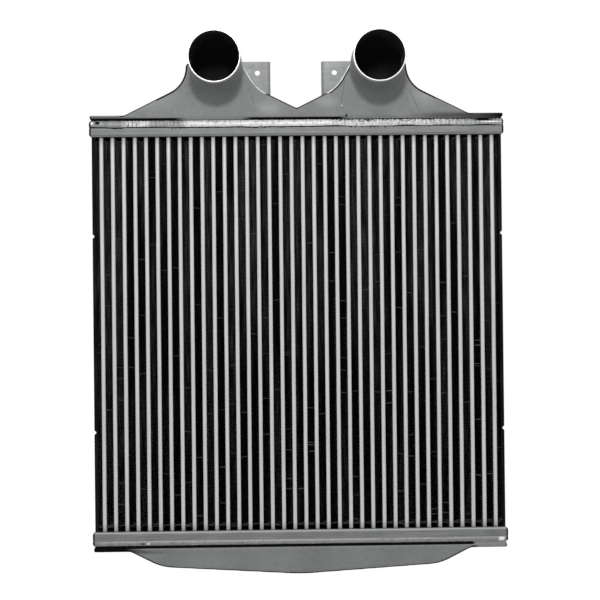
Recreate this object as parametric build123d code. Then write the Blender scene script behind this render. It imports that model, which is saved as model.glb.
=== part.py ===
from build123d import *
from math import cos, radians, sin
import os

# Charge air cooler of a heavy truck: a core of flat tubes and fins between two slotted
# header plates, a cast twin-neck tank on top and a shallow return tank below.
# X runs across the core, Y runs from the front (negative) to the back, Z is up.
# The origin lies midway between the holes of the two mounting brackets, on the
# brackets' back faces, which is also the middle of the core's depth.

# Core
TUBE_COUNT = 36
TUBE_PITCH = 20.8
TUBE_THICKNESS = 7.0
TUBE_DEPTH = 64.0
TUBE_WALL = 0.8
TUBE_NOSE_BULGE = 1.8
TUBE_STAND_THROUGH = 3.0
CORE_HEIGHT = 732.0
FIN_RECESS = 1.5
FIN_END_GAP = 1.0
END_FIN_HEIGHT = 8.0
FIN_BANKS = 7

# Side plates, which are channels with their flanges turned outwards
SIDE_SHEET = 1.5
SIDE_FLANGE = 6.0
NOTCH_DEPTH = 4.0
NOTCH_HEIGHT = 9.0
NOTCH_SPREAD = 364.0

# Header plates, which are slotted pans with their lips folded away from the core
HEADER_OVERHANG = 9.5
HEADER_DEPTH = 80.0
HEADER_SHEET = 3.0
HEADER_LIP = 16.0
HEADER_BEND = 5.0
SLOT_CLEARANCE = 0.1

# Tanks: what both have
TANK_WALL = 4.0
FOOT_CLEARANCE = 0.3
RIM_THICKNESS = 6.0
RIM_INSET = 0.5

# Weld beads
TOP_BEAD_HEIGHT = 14.0
RETURN_BEAD_HEIGHT = 10.0
BEAD_PROUD = 1.5
BEAD_ROUND = 3.5

# Top tank, with heights above the core
TOP_RIM_HEIGHT = 40.0
NECK_X = 148.5
NECK_BACK_SET = 9.3
VALLEY_HEIGHT = 51.5
FLANK_SLOPE = 0.497
FLANK_INNER_X = 74.0
FLANK_INNER_R = 70.0
FLANK_OUTER_X = 207.5
FLANK_OUTER_R = 54.0
SHOULDER_INNER_X = 102.5
SHOULDER_OUTER_X = 205.0
SHOULDER_HEIGHT = 137.0
SHOULDER_R = 7.0
FRONT_DRAFT = 2.0
BACK_DRAFT = 35.0
COLLAR_TOP = 53.0
COLLAR_WIDTH = 106.0
COLLAR_CLEARANCE = 0.5
COLLAR_CORNER = 46.0
ELBOW_BEND_R = 84.0
ELBOW_MITRES = 4
PORT_HEIGHT = 131.5
PORT_REACH = 136.0

# Hose spigots, turned down from the cast neck by a step
SPIGOT_OUTSIDE_DIA = 95.0
SPIGOT_BORE = 90.5
SPIGOT_LENGTH = 60.0
SPIGOT_STEP = 0.8

# Bottom tank, with its rim's height below the core and depths below the rim
RETURN_RIM_HEIGHT = 37.0
RETURN_RAMP_X = 317.0
RETURN_CORNER_X = 258.0
RETURN_CORNER_DROP = 30.0
RETURN_CORNER_R = 90.0
RETURN_KEEL_DROP = 46.0
RETURN_DRAFT = 5.0

# Mounting brackets
HOLE_HEIGHT = 123.0
HOLE_SPACING = 145.0
HOLE_DIA = 10.0
BRACKET_SHEET = 4.0
BRACKET_TOP_MARGIN = 21.0
BRACKET_INNER_X = 48.2
BRACKET_FLANGE = 15.0
BRACKET_BEND = 6.0

# Two heights closer than this are the same height
POINT_MATCH = 0.001

# Worked out from the driving dimensions
FIN_HEIGHT = TUBE_PITCH - TUBE_THICKNESS
CORE_TOP = -HOLE_HEIGHT
CORE_BOTTOM = CORE_TOP - CORE_HEIGHT
CORE_MIDDLE = (CORE_TOP + CORE_BOTTOM) / 2
LAST_TUBE_X = (TUBE_COUNT - 1) * TUBE_PITCH / 2
END_FIN_X = LAST_TUBE_X + TUBE_THICKNESS / 2 + END_FIN_HEIGHT / 2
SIDE_WEB_X = LAST_TUBE_X + TUBE_THICKNESS / 2 + END_FIN_HEIGHT
HEADER_LENGTH = 2 * (SIDE_WEB_X + HEADER_OVERHANG)
FOOT_LENGTH = HEADER_LENGTH - 2 * (HEADER_SHEET + FOOT_CLEARANCE)
FOOT_DEPTH = HEADER_DEPTH - 2 * (HEADER_SHEET + FOOT_CLEARANCE)
RIM_LENGTH = HEADER_LENGTH - 2 * RIM_INSET
RIM_DEPTH = HEADER_DEPTH - 2 * RIM_INSET
TOP_RIM_UNDERSIDE = TOP_RIM_HEIGHT - RIM_THICKNESS
ELBOW_START_HEIGHT = PORT_HEIGHT - ELBOW_BEND_R
NECK_OUTSIDE_R = SPIGOT_OUTSIDE_DIA / 2 + SPIGOT_STEP


def tube_xs():
    """Places of the tubes across the core."""
    return [(index - (TUBE_COUNT - 1) / 2) * TUBE_PITCH for index in range(TUBE_COUNT)]


def flat_tube():
    """One welded flat tube with bulged noses and a plain passage."""
    length = CORE_HEIGHT + 2 * (HEADER_SHEET + TUBE_STAND_THROUGH)
    side_x = TUBE_THICKNESS / 2
    nose_y = TUBE_DEPTH / 2
    flat_y = nose_y - TUBE_NOSE_BULGE
    outline = Curve() + [
        Line((-side_x, -flat_y), (-side_x, flat_y)),
        ThreePointArc((-side_x, flat_y), (0, nose_y), (side_x, flat_y)),
        Line((side_x, flat_y), (side_x, -flat_y)),
        ThreePointArc((side_x, -flat_y), (0, -nose_y), (-side_x, -flat_y)),
    ]
    passage = Rectangle(TUBE_THICKNESS - 2 * TUBE_WALL, 2 * flat_y)
    tube = extrude(make_face(outline) - passage, length)
    return Pos(0, 0, CORE_MIDDLE - length / 2) * tube


def fin_strip(height):
    """The envelope of one corrugated fin strip, which fills the space beside a tube."""
    return Pos(0, 0, CORE_MIDDLE) * Box(
        height, TUBE_DEPTH - 2 * FIN_RECESS, CORE_HEIGHT - 2 * FIN_END_GAP
    )


def slot_corner():
    """How much is clipped off a slot's corners to clear a tube's nose by the slot's clearance."""
    half = TUBE_THICKNESS / 2
    diagonal = 2**0.5
    nose_radius = (half**2 + TUBE_NOSE_BULGE**2) / (2 * TUBE_NOSE_BULGE)
    blunt = nose_radius > half * diagonal
    spare = TUBE_NOSE_BULGE if blunt else half - nose_radius * (diagonal - 1)
    return spare + SLOT_CLEARANCE * (2 - diagonal)


def header_plate():
    """A slotted pan, with its floor on Z = 0 and its lips turned up."""
    pan = Pos(0, 0, HEADER_LIP / 2) * Box(HEADER_LENGTH, HEADER_DEPTH, HEADER_LIP)
    pan = fillet(pan.faces().sort_by(Axis.Z)[0].edges(), HEADER_BEND)
    hollow_height = HEADER_LIP - HEADER_SHEET
    pan -= Pos(0, 0, HEADER_SHEET + hollow_height / 2) * Box(
        HEADER_LENGTH - 2 * HEADER_SHEET, HEADER_DEPTH - 2 * HEADER_SHEET, hollow_height
    )
    slot = Rectangle(TUBE_THICKNESS + 2 * SLOT_CLEARANCE, TUBE_DEPTH + 2 * SLOT_CLEARANCE)
    slot = chamfer(slot.vertices(), slot_corner())
    slots = Sketch() + [Pos(x, 0) * slot for x in tube_xs()]
    return pan - extrude(slots, HEADER_SHEET)


def tank_foot(rim_height):
    """The block that stands in the header pan, with the rim that it carries."""
    rim_underside = rim_height - RIM_THICKNESS
    foot_height = rim_underside - HEADER_SHEET
    foot = Pos(0, 0, HEADER_SHEET + foot_height / 2) * Box(FOOT_LENGTH, FOOT_DEPTH, foot_height)
    rim_middle = rim_height - RIM_THICKNESS / 2
    rim = Pos(0, 0, rim_middle) * Box(RIM_LENGTH, RIM_DEPTH, RIM_THICKNESS)
    return foot + rim


def weld_bead(height):
    """A bead of some height, laid on the lip's edge all the way round the tank's foot."""
    length = HEADER_LENGTH + 2 * BEAD_PROUD
    depth = HEADER_DEPTH + 2 * BEAD_PROUD
    bead = Pos(0, 0, HEADER_LIP + height / 2) * Box(length, depth, height)
    level = bead.edges().filter_by(Axis.Z, reverse=True)
    bead = chamfer(level, BEAD_ROUND)
    return bead - Pos(0, 0, HEADER_LIP + height / 2) * Box(FOOT_LENGTH, FOOT_DEPTH, height)


def neck_collar():
    """The root of a neck, a half-round apron from the tank's back out to the round pipe."""
    front_y = -RIM_DEPTH / 2
    back_y = NECK_BACK_SET + NECK_OUTSIDE_R + COLLAR_CLEARANCE
    outline = Pos(0, (front_y + back_y) / 2) * Rectangle(COLLAR_WIDTH, back_y - front_y)
    outline = fillet(outline.vertices().sort_by(Axis.Y)[-2:], COLLAR_CORNER)
    side = make_face(
        Polyline(
            (front_y, TOP_RIM_HEIGHT),
            (-front_y, TOP_RIM_HEIGHT),
            (back_y, COLLAR_TOP),
            (front_y, COLLAR_TOP),
            close=True,
        )
    )
    return extrude(outline, COLLAR_TOP) & across(side, COLLAR_WIDTH)


def neck_pipe(radius, reach):
    """A round pipe: up from the collar, round a bend of straight runs, and forward to its reach."""
    bend_y = NECK_BACK_SET - ELBOW_BEND_R
    foot = (0, NECK_BACK_SET, COLLAR_TOP)
    step = 90 / ELBOW_MITRES
    corner_reach = ELBOW_BEND_R / cos(radians(step / 2))
    angles = [radians(step * (mitre + 0.5)) for mitre in range(ELBOW_MITRES)]
    corners = [
        (0, bend_y + corner_reach * cos(angle), ELBOW_START_HEIGHT + corner_reach * sin(angle))
        for angle in angles
    ]
    path = Polyline(foot, *corners, (0, -reach, PORT_HEIGHT))
    return sweep(Pos(*foot) * Circle(radius), path=path, transition=Transition.RIGHT)


def hose_spigot():
    """The turned straight that the hose slides on, from inside the neck to the mouth."""
    length = SPIGOT_LENGTH + SPIGOT_STEP
    return Pos(0, length / 2 - PORT_REACH, PORT_HEIGHT) * Rot(90, 0, 0) * Cylinder(
        SPIGOT_OUTSIDE_DIA / 2, length
    )


def flank_outline(foot_height):
    """Front view of half the top tank, from the middle to where its ramp meets the foot's height."""
    inner_height = VALLEY_HEIGHT + FLANK_INNER_X * FLANK_SLOPE
    outer_height = VALLEY_HEIGHT + (2 * NECK_X - FLANK_OUTER_X) * FLANK_SLOPE
    foot_x = 2 * NECK_X + (VALLEY_HEIGHT - foot_height) / FLANK_SLOPE
    points = [
        (0, foot_height),
        (0, VALLEY_HEIGHT),
        (FLANK_INNER_X, inner_height),
        (SHOULDER_INNER_X, SHOULDER_HEIGHT),
        (SHOULDER_OUTER_X, SHOULDER_HEIGHT),
        (FLANK_OUTER_X, outer_height),
        (foot_x, foot_height),
    ]
    face = make_face(Polyline(*points, close=True))
    bends = (
        (SHOULDER_HEIGHT, SHOULDER_R),
        (inner_height, FLANK_INNER_R),
        (outer_height, FLANK_OUTER_R),
    )
    for height, radius in bends:
        corners = [v for v in face.vertices() if abs(v.Y - height) < POINT_MATCH]
        face = fillet(corners, radius)
    return face


def side_outline(front_draft, back_draft, start_height, top_height):
    """Side view of a tank, upright at first and then drafted towards its crown."""
    half_depth = RIM_DEPTH / 2
    corners = [
        (-half_depth, 0),
        (half_depth, 0),
        (half_depth, start_height),
        (half_depth - back_draft, top_height),
        (front_draft - half_depth, top_height),
        (-half_depth, start_height),
    ]
    return make_face(Polyline(*corners, close=True))


def across(section, length):
    """A section drawn in the side view, run along the core's width."""
    return Pos(-length / 2, 0, 0) * extrude(Plane.YZ * section, length)


def through(section, depth):
    """A section drawn in the front view, run through the tank's depth."""
    return Pos(0, depth / 2, 0) * extrude(Plane.XZ * section, depth)


def half_flank(inset):
    """The drafted flanks beside a neck, less an inset all round."""
    # The inset also lifts the outline's foot, so that is drawn lower by as much.
    outline = flank_outline(TOP_RIM_UNDERSIDE - inset)
    side = side_outline(FRONT_DRAFT, BACK_DRAFT, COLLAR_TOP, SHOULDER_HEIGHT)
    if inset:
        outline = offset(outline, -inset, kind=Kind.INTERSECTION)
        side = offset(side, -inset, kind=Kind.INTERSECTION)
    return through(outline, RIM_DEPTH) & across(side, 2 * HEADER_LENGTH)


def foot_room(room_top, inner_x):
    """One chamber in a tank's foot, from the open bottom up, clear of the middle by inner_x."""
    length = FOOT_LENGTH / 2 - TANK_WALL - inner_x
    depth = FOOT_DEPTH - 2 * TANK_WALL
    height = room_top - HEADER_SHEET
    return Pos(inner_x + length / 2, 0, HEADER_SHEET + height / 2) * Box(length, depth, height)


def top_tank():
    """The casting with two necks, and a web between its two chambers."""
    cast_neck = neck_pipe(NECK_OUTSIDE_R, PORT_REACH - SPIGOT_LENGTH)
    neck = neck_collar() + cast_neck + hose_spigot()
    right_outside = half_flank(0) + Pos(NECK_X, 0) * neck
    right_inside = (
        half_flank(TANK_WALL)
        + foot_room(TOP_RIM_HEIGHT - TANK_WALL, TANK_WALL)
        + Pos(NECK_X, 0) * neck_pipe(SPIGOT_BORE / 2, PORT_REACH)
    )
    outside = tank_foot(TOP_RIM_HEIGHT) + right_outside + mirror(right_outside, Plane.YZ)
    return outside, outside - right_inside - mirror(right_inside, Plane.YZ)


def return_outline(foot_height):
    """Front view of the return tank from the foot's height, drawn upside down like the top tank."""
    corner_height = RETURN_RIM_HEIGHT + RETURN_CORNER_DROP
    keel_height = RETURN_RIM_HEIGHT + RETURN_KEEL_DROP
    ramp_slope = RETURN_CORNER_DROP / (RETURN_RAMP_X - RETURN_CORNER_X)
    foot_x = RETURN_RAMP_X + (RETURN_RIM_HEIGHT - foot_height) / ramp_slope
    points = [
        (-foot_x, foot_height),
        (-RETURN_CORNER_X, corner_height),
        (0, keel_height),
        (RETURN_CORNER_X, corner_height),
        (foot_x, foot_height),
    ]
    face = make_face(Polyline(*points, close=True))
    corners = [v for v in face.vertices() if abs(v.Y - corner_height) < POINT_MATCH]
    return fillet(corners, RETURN_CORNER_R)


def return_body(inset):
    """The return tank's body, less an inset all round."""
    outline = return_outline(RETURN_RIM_HEIGHT - RIM_THICKNESS - inset)
    keel_height = RETURN_RIM_HEIGHT + RETURN_KEEL_DROP
    side = side_outline(RETURN_DRAFT, RETURN_DRAFT, RETURN_RIM_HEIGHT, keel_height)
    if inset:
        outline = offset(outline, -inset, kind=Kind.INTERSECTION)
        side = offset(side, -inset, kind=Kind.INTERSECTION)
    return through(outline, RIM_DEPTH) & across(side, HEADER_LENGTH)


def return_tank():
    """The shallow tank that leads the air from one half of the tubes to the other."""
    room = foot_room(RETURN_RIM_HEIGHT - TANK_WALL, 0)
    outside = tank_foot(RETURN_RIM_HEIGHT) + return_body(0)
    return outside - return_body(TANK_WALL) - room - mirror(room, Plane.YZ)


def side_plate():
    """The right side plate, a channel whose flanges have notches that let the core grow."""
    outer_x = SIDE_WEB_X + SIDE_FLANGE
    middle_x = (SIDE_WEB_X + outer_x) / 2
    plate = Pos(middle_x, 0, CORE_MIDDLE) * Box(SIDE_FLANGE, TUBE_DEPTH, CORE_HEIGHT)
    plate -= Pos(middle_x + SIDE_SHEET, 0, CORE_MIDDLE) * Box(
        SIDE_FLANGE, TUBE_DEPTH - 2 * SIDE_SHEET, CORE_HEIGHT
    )
    notch = make_face(
        Polyline((0, -NOTCH_HEIGHT / 2), (-NOTCH_DEPTH, 0), (0, NOTCH_HEIGHT / 2), close=True)
    )
    for side in (-1, 1):
        level = CORE_MIDDLE + side * NOTCH_SPREAD / 2
        plate -= Pos(outer_x, 0, level) * through(notch, TUBE_DEPTH)
    return plate


def bracket(tank_outside):
    """The right bracket, a plate with a flange turned back, fitted to the tank's outside."""
    top = BRACKET_TOP_MARGIN
    bottom = CORE_TOP + VALLEY_HEIGHT
    face = BRACKET_SHEET
    section = make_face(
        Polyline(
            (BRACKET_INNER_X, BRACKET_FLANGE),
            (BRACKET_INNER_X, -face),
            (NECK_X, -face),
            (NECK_X, 0),
            (BRACKET_INNER_X + face, 0),
            (BRACKET_INNER_X + face, BRACKET_FLANGE),
            close=True,
        )
    )
    bend = section.vertices().sort_by_distance((BRACKET_INNER_X, -face))[0]
    section = fillet(bend, BRACKET_BEND)
    plate = Pos(0, 0, bottom) * extrude(section, top - bottom)
    plate -= Pos(HOLE_SPACING / 2, 0, 0) * Rot(90, 0, 0) * Cylinder(HOLE_DIA / 2, 2 * face)
    plate -= tank_outside
    return plate.solids().sort_by(Axis.Z)[-1]


def write(name, shape):
    """Save one sub-part under its own name."""
    export_step(shape, f"parts/{name}.step")


def main():
    """Build every sub-part in its place and write it."""
    os.makedirs("parts", exist_ok=True)
    above = Pos(0, 0, CORE_TOP)
    below = Pos(0, 0, CORE_BOTTOM) * Rot(180, 0, 0)

    tube = flat_tube()
    for number, x in enumerate(tube_xs(), start=1):
        write(f"tube_{number:02d}", Pos(x, 0) * tube)

    fin = fin_strip(FIN_HEIGHT)
    gap_xs = [x + TUBE_PITCH / 2 for x in tube_xs()[:-1]]
    bank_size = -(-len(gap_xs) // FIN_BANKS)
    for bank in range(FIN_BANKS):
        bank_xs = gap_xs[bank * bank_size : (bank + 1) * bank_size]
        write(f"fin_bank_{bank + 1}", Compound([Pos(x, 0) * fin for x in bank_xs]))
    end_fin = Pos(END_FIN_X, 0) * fin_strip(END_FIN_HEIGHT)
    write("right_end_fin", end_fin)
    write("left_end_fin", mirror(end_fin, Plane.YZ))

    right_side = side_plate()
    write("right_side_plate", right_side)
    write("left_side_plate", mirror(right_side, Plane.YZ))

    header = header_plate()
    write("top_header_plate", above * header)
    write("bottom_header_plate", below * header)
    write("top_weld_bead", above * weld_bead(TOP_BEAD_HEIGHT))
    write("bottom_weld_bead", below * weld_bead(RETURN_BEAD_HEIGHT))

    tank_outside, tank = top_tank()
    write("top_tank", above * tank)
    write("return_tank", below * return_tank())

    right_bracket = bracket(above * tank_outside)
    write("right_bracket", right_bracket)
    write("left_bracket", mirror(right_bracket, Plane.YZ))


main()
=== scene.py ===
import logging
import math
import random
from dataclasses import dataclass, field
from enum import Enum
from typing import Callable, Iterable, Sequence

import bmesh
import bpy
from bmesh.types import BMEdge, BMFace, BMVert
from mathutils import Matrix, Vector, kdtree, noise


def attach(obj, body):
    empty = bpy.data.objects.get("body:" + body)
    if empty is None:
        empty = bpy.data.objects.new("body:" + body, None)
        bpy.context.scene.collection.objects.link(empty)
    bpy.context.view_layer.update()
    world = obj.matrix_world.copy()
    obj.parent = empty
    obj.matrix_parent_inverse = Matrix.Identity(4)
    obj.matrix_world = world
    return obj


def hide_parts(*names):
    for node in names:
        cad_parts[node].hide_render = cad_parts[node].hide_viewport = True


# The looks of a heavy truck's charge air cooler. Lengths are in metres, X runs across the
# core, Y to the back and Z up, from the point midway between the two bracket holes.

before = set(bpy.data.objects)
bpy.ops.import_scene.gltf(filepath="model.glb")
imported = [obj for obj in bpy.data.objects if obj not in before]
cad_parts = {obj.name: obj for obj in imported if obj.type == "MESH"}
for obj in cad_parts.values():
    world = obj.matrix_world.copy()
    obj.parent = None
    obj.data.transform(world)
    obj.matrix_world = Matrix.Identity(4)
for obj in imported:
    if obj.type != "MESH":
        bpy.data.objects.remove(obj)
LOG = logging.getLogger("cooler")

Triple = tuple[float, float, float]
Shade = Triple
Pair = tuple[float, float]
Socket = bpy.types.NodeSocket

# Limits that leave nothing out, such as the depth of a patch that runs round to the back
ALL_ROUND = (-2.0, 2.0)

# How far the edge of a patch fades where nothing else is said
CRISP = 0.0007

# The mesh attribute that says how far a point of a casting lies from its front outline
RIM_GAP = "rim_gap"


class End(Enum):
    """The two ends of the core. The value is the direction from the core to the tank."""

    TOP = 1
    BOTTOM = -1


class WeldStyle(Enum):
    """How a stretch of weld bead was laid: its ripple's depth, as a share of the bead."""

    FLAT = 0.05
    SMOOTH = 0.08
    RIPPLED = 0.50
    CRACKED = 0.30


@dataclass(frozen=True)
class Layout:
    """Sizes and places that the sub-assemblies share."""

    core_top: float = -0.123
    core_bottom: float = -0.855
    tube_count: int = 36
    tube_pitch: float = 0.0208
    tube_thickness: float = 0.007
    tube_depth: float = 0.064
    header_length: float = 0.770
    header_depth: float = 0.080
    header_sheet: float = 0.003
    header_lip: float = 0.016
    foot_clearance: float = 0.0003

    @property
    def foot_gap(self) -> float:
        """How far a tank's foot lies inside the header pan's outside."""
        return self.header_sheet + self.foot_clearance

    def tube_xs(self) -> list[float]:
        """Places of the tubes across the core, from the viewer's left."""
        middle = (self.tube_count - 1) / 2
        return [(index - middle) * self.tube_pitch for index in range(self.tube_count)]

    def above(self, end: End, height: float) -> float:
        """Level of a height that is counted from one end of the core towards its tank.

        Args:
            end: The end that the height is counted from.
            height: Distance from that end of the core.

        Returns:
            The level on Z.
        """
        base = self.core_top if end is End.TOP else self.core_bottom
        return base + end.value * height


def grey(level: float) -> Shade:
    """A neutral shade."""
    return (level, level, level)


def add_node(
    tree: bpy.types.NodeTree, kind: str, inputs: dict, output: str | int = 0, **settings: object
) -> Socket:
    """Add a node to a tree.

    Args:
        tree: The node tree.
        kind: The node's type, without its first word.
        inputs: Its inputs by name or number, each with a socket to link or a plain value.
        output: Which of its outputs is wanted.
        settings: The node's own settings, such as its operation.

    Returns:
        The output socket.
    """
    node = tree.nodes.new("ShaderNode" + kind)
    for name, value in settings.items():
        setattr(node, name, value)
    for name, value in inputs.items():
        feed(tree, node.inputs[name], value)
    return node.outputs[output]


def feed(tree: bpy.types.NodeTree, target: Socket, value: object) -> None:
    """Link a socket to an input, or set the input to a plain value."""
    if isinstance(value, Socket):
        tree.links.new(value, target)
    else:
        target.default_value = value


class NodeBoard:
    """A material's node tree, laid out on the piece's own object coordinates."""

    def __init__(self, name: str) -> None:
        """Start a material.

        Args:
            name: The material's name.
        """
        self.material = bpy.data.materials.new(name)
        self.material.use_nodes = True
        self.tree = self.material.node_tree
        self.shader = self.tree.nodes["Principled BSDF"]
        self.place = self.add("TexCoord", {}, "Object")

    def add(self, kind: str, inputs: dict, output: str | int = 0, **settings: object) -> Socket:
        """Add a node to the board, as add_node() does."""
        return add_node(self.tree, kind, inputs, output, **settings)

    def send(self, **values: object) -> None:
        """Give the shader's own sockets a socket or a plain value each.

        Args:
            values: Socket names, with underscores for spaces, and their values.
        """
        for name, value in values.items():
            feed(self.tree, self.shader.inputs[name.replace("_", " ").title().replace("Ior", "IOR")], value)

    def noise(self, scale: float, detail: float = 3.0, stretch: Triple = (1, 1, 1)) -> Socket:
        """A cloud of values from 0 to 1.

        Args:
            scale: How many features stand in a metre.
            detail: How many finer layers are added.
            stretch: Scale along each axis, under 1 for features drawn out along it.

        Returns:
            The value socket.
        """
        place = self.add("Mapping", {"Vector": self.place, "Scale": stretch}, "Vector")
        return self.add("TexNoise", {"Vector": place, "Scale": scale, "Detail": detail}, "Fac")

    def split(self, axis: str) -> Socket:
        """One coordinate of the surface's place."""
        return self.add("SeparateXYZ", {"Vector": self.place}, axis)

    def span(self, source: Socket, ins: Pair = (0, 1), outs: Pair = (0, 1), clamp: bool = True) -> Socket:
        """Spread a value from one pair of limits to another.

        Args:
            source: The value socket.
            ins: The limits that it has.
            outs: The limits that it gets.
            clamp: Whether it stays between them.

        Returns:
            The value socket.
        """
        limits = {"From Min": ins[0], "From Max": ins[1], "To Min": outs[0], "To Max": outs[1]}
        return self.add("MapRange", {"Value": source, **limits}, "Result", clamp=clamp)

    def fold(self, operation: str, *sources: Socket) -> Socket:
        """Work out one value from several, two at a time.

        Args:
            operation: A math node's operation, such as MULTIPLY or MAXIMUM.
            sources: The values.

        Returns:
            The value socket.
        """
        result = sources[0]
        for other in sources[1:]:
            result = self.add("Math", {0: result, 1: other}, operation=operation)
        return result

    def band(self, source: Socket, limits: Pair, edge: float) -> Socket:
        """A value that is 1 where another lies between two limits, and 0 outside them.

        Args:
            source: The other value, such as a coordinate.
            limits: Where the band starts and ends.
            edge: How far its two sides fade.

        Returns:
            The value socket.
        """
        low, high = limits
        rise, fall = self.span(source, (low, low + edge)), self.span(source, (high, high - edge))
        return self.fold("MULTIPLY", rise, fall)

    def cover(self, colour: Socket, patches: Sequence["Patch"]) -> Socket:
        """Lay patches over a colour, most of them painted shade and painted highlights, and take the sheen
        off the dark ones.

        Args:
            colour: The colour socket.
            patches: The patches, in the order in which they are laid.

        Returns:
            The colour socket.
        """
        mottle = self.noise(120)
        dark = []
        for patch in patches:
            where = patch.where(self)
            shade = self.ramp(mottle, (0.3, patch.shade), (0.8, tuple(patch.mottle * c for c in patch.shade)))
            colour = self.mix(where, colour, shade)
            if max(patch.shade) < 0.05:
                dark.append(where)
        # The dark patches, mostly painted shade, lose their sheen.
        if dark:
            dark_share = self.fold("MAXIMUM", *dark)
            for name in ("Specular IOR Level", "Metallic"):
                socket = self.shader.inputs[name]
                feed(self.tree, socket, self.span(dark_share, outs=(socket.default_value, 0.0)))
        return colour

    def ramp(self, source: Socket, *stops: tuple[float, Shade | float]) -> Socket:
        """Turn a value into a colour.

        Args:
            source: The value socket.
            stops: Places from 0 to 1, each with a colour or the level of a neutral one.

        Returns:
            The colour socket.
        """
        colour = self.add("ValToRGB", {"Fac": source}, "Color")
        bar = colour.node.color_ramp.elements
        while len(bar) < len(stops):
            bar.new(0.5)
        for element, (place, shade) in zip(bar, stops):
            element.position = place
            element.color = (*(shade if isinstance(shade, tuple) else grey(shade)), 1)
        return colour

    def mix(self, factor: Socket | float, low: Socket, high: Socket, kind: str = "MIX") -> Socket:
        """Lay one colour over another.

        Args:
            factor: How much of the second shows.
            low: The first colour.
            high: The second colour.
            kind: How they are joined, such as MIX or LIGHTEN.

        Returns:
            The colour socket.
        """
        return self.add("Mix", {0: factor, 6: low, 7: high}, 2, data_type="RGBA", blend_type=kind)

    def times(self, low: Socket, high: Socket) -> Socket:
        """One colour multiplied by another."""
        return self.mix(1.0, low, high, "MULTIPLY")

    def bump(self, height: Socket, depth: float) -> None:
        """Raise the surface by a value.

        Args:
            height: The value socket.
            depth: Height of the relief.
        """
        self.send(normal=self.add("Bump", {"Strength": 1.0, "Distance": depth, "Height": height}, "Normal"))


@dataclass(frozen=True)
class Patch:
    """A place on a surface that is darker or lighter than the rest of it; most are painted shade or painted
    highlights.
    """

    shade: Shade
    heights: Pair = ALL_ROUND
    across: Pair = ALL_ROUND
    deep: Pair = (-2.0, -0.028)
    fade: float = CRISP
    soft: float = CRISP
    lean: float = 0.0
    mottle: float = 2.0
    rim: Pair | None = None
    both_sides: bool = False

    def where(self, board: NodeBoard) -> Socket:
        """How much of the patch shows, from 0 to 1.

        Args:
            board: The board that it is laid on.

        Returns:
            The value socket.
        """
        x, z = board.split("X"), board.split("Z")
        if self.both_sides:
            x = board.add("Math", {0: x}, operation="ABSOLUTE")
        if self.lean:
            start = self.heights[0]
            x = board.fold("SUBTRACT", x, board.span(z, (start, start + 1 / self.lean), clamp=False))
        shares = [board.band(x, self.across, self.soft), board.band(z, self.heights, self.fade)]
        if self.deep != ALL_ROUND:
            shares.append(board.band(board.split("Y"), self.deep, CRISP))
        if self.rim:
            gap = board.add("Attribute", {}, "Fac", attribute_name=RIM_GAP)
            shares.append(board.band(gap, self.rim, CRISP))
        return board.fold("MULTIPLY", *shares)


@dataclass(frozen=True)
class Finish:
    """What every finish has: a name, a dark and a light shade, and its sheen."""

    name: str
    dark: Shade
    light: Shade
    metallic: float = 0.0
    rough: float = 0.6
    sheen: float = 0.5
    patches: tuple[Patch, ...] = ()

    def material(self) -> bpy.types.Material:
        """The finish's material, made once."""
        found = bpy.data.materials.get(self.name)
        if found:
            return found
        board = NodeBoard(self.name)
        board.send(metallic=self.metallic, roughness=self.rough, specular_ior_level=self.sheen)
        self.paint(board)
        return board.material

    def paint(self, board: NodeBoard) -> None:
        """Lay the finish on a board: a soft mottle between the two shades."""
        board.send(base_color=board.ramp(board.noise(18), (0.3, self.dark), (0.7, self.light)))

    def cover_and_roughen(self, board: NodeBoard, colour: Socket, scale: float, duller: float) -> None:
        """Lay the patches, mostly painted shade and painted highlights, over a colour, and vary the roughness
        in clouds.

        Args:
            board: The board.
            colour: The colour.
            scale: How many clouds stand in a metre.
            duller: How much rougher the dullest places are.
        """
        board.send(base_color=board.cover(colour, self.patches))
        board.send(roughness=board.span(board.noise(scale), outs=(self.rough - 0.08, self.rough + duller)))


@dataclass(frozen=True)
class CastSkin(Finish):
    """Sand-cast aluminium: fine grain, wide stains, and patches that are mostly painted shade and painted
    light.
    """

    def paint(self, board: NodeBoard) -> None:
        """Lay the grain, the stains and the patches of painted shade and light on a board."""
        stains = board.ramp(board.noise(11, 5), (0.30, self.dark), (0.72, self.light))
        specks = board.ramp(board.noise(240, 2), (0.30, 0.86), (0.62, 1))
        self.cover_and_roughen(board, board.times(stains, specks), 60, 0.1)
        board.bump(board.noise(900, 2), 0.00025)


@dataclass(frozen=True)
class RolledSheet(Finish):
    """Rolled aluminium sheet with faint drawn-out streaks along its length."""

    def paint(self, board: NodeBoard) -> None:
        """Lay the streaks and a few stains on a board."""
        streaks = board.ramp(board.noise(420, 2, (0.03, 1, 1)), (0.35, self.dark), (0.65, self.light))
        stains = board.ramp(board.noise(26, 4), (0.34, 0.84), (0.6, 1))
        self.cover_and_roughen(board, board.times(streaks, stains), 90, 0.08)
        board.bump(board.noise(500, 2, (0.1, 1, 1)), 0.00008)


@dataclass(frozen=True)
class TubeMetal(Finish):
    """Drawn tube: bright, with long streaks, and darker towards its two ends, where shade is painted by the
    headers.
    """

    def paint(self, board: NodeBoard) -> None:
        """Lay the streaks and the painted shade at the ends on a board."""
        streaks = board.ramp(board.noise(900, 2, (1, 1, 0.012)), (0.32, self.dark), (0.66, self.light))
        # Painted shade: each tube darkens over its last 16 mm or so by each header.
        height = board.span(board.split("Z"), (Layout.core_bottom, Layout.core_top))
        ends = board.ramp(height, (0.0, 0.5), (0.022, 0.95), (0.975, 0.95), (1.0, 0.5))
        board.send(base_color=board.times(streaks, ends))
        board.bump(board.noise(700, 2, (1, 1, 0.02)), 0.00005)


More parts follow.
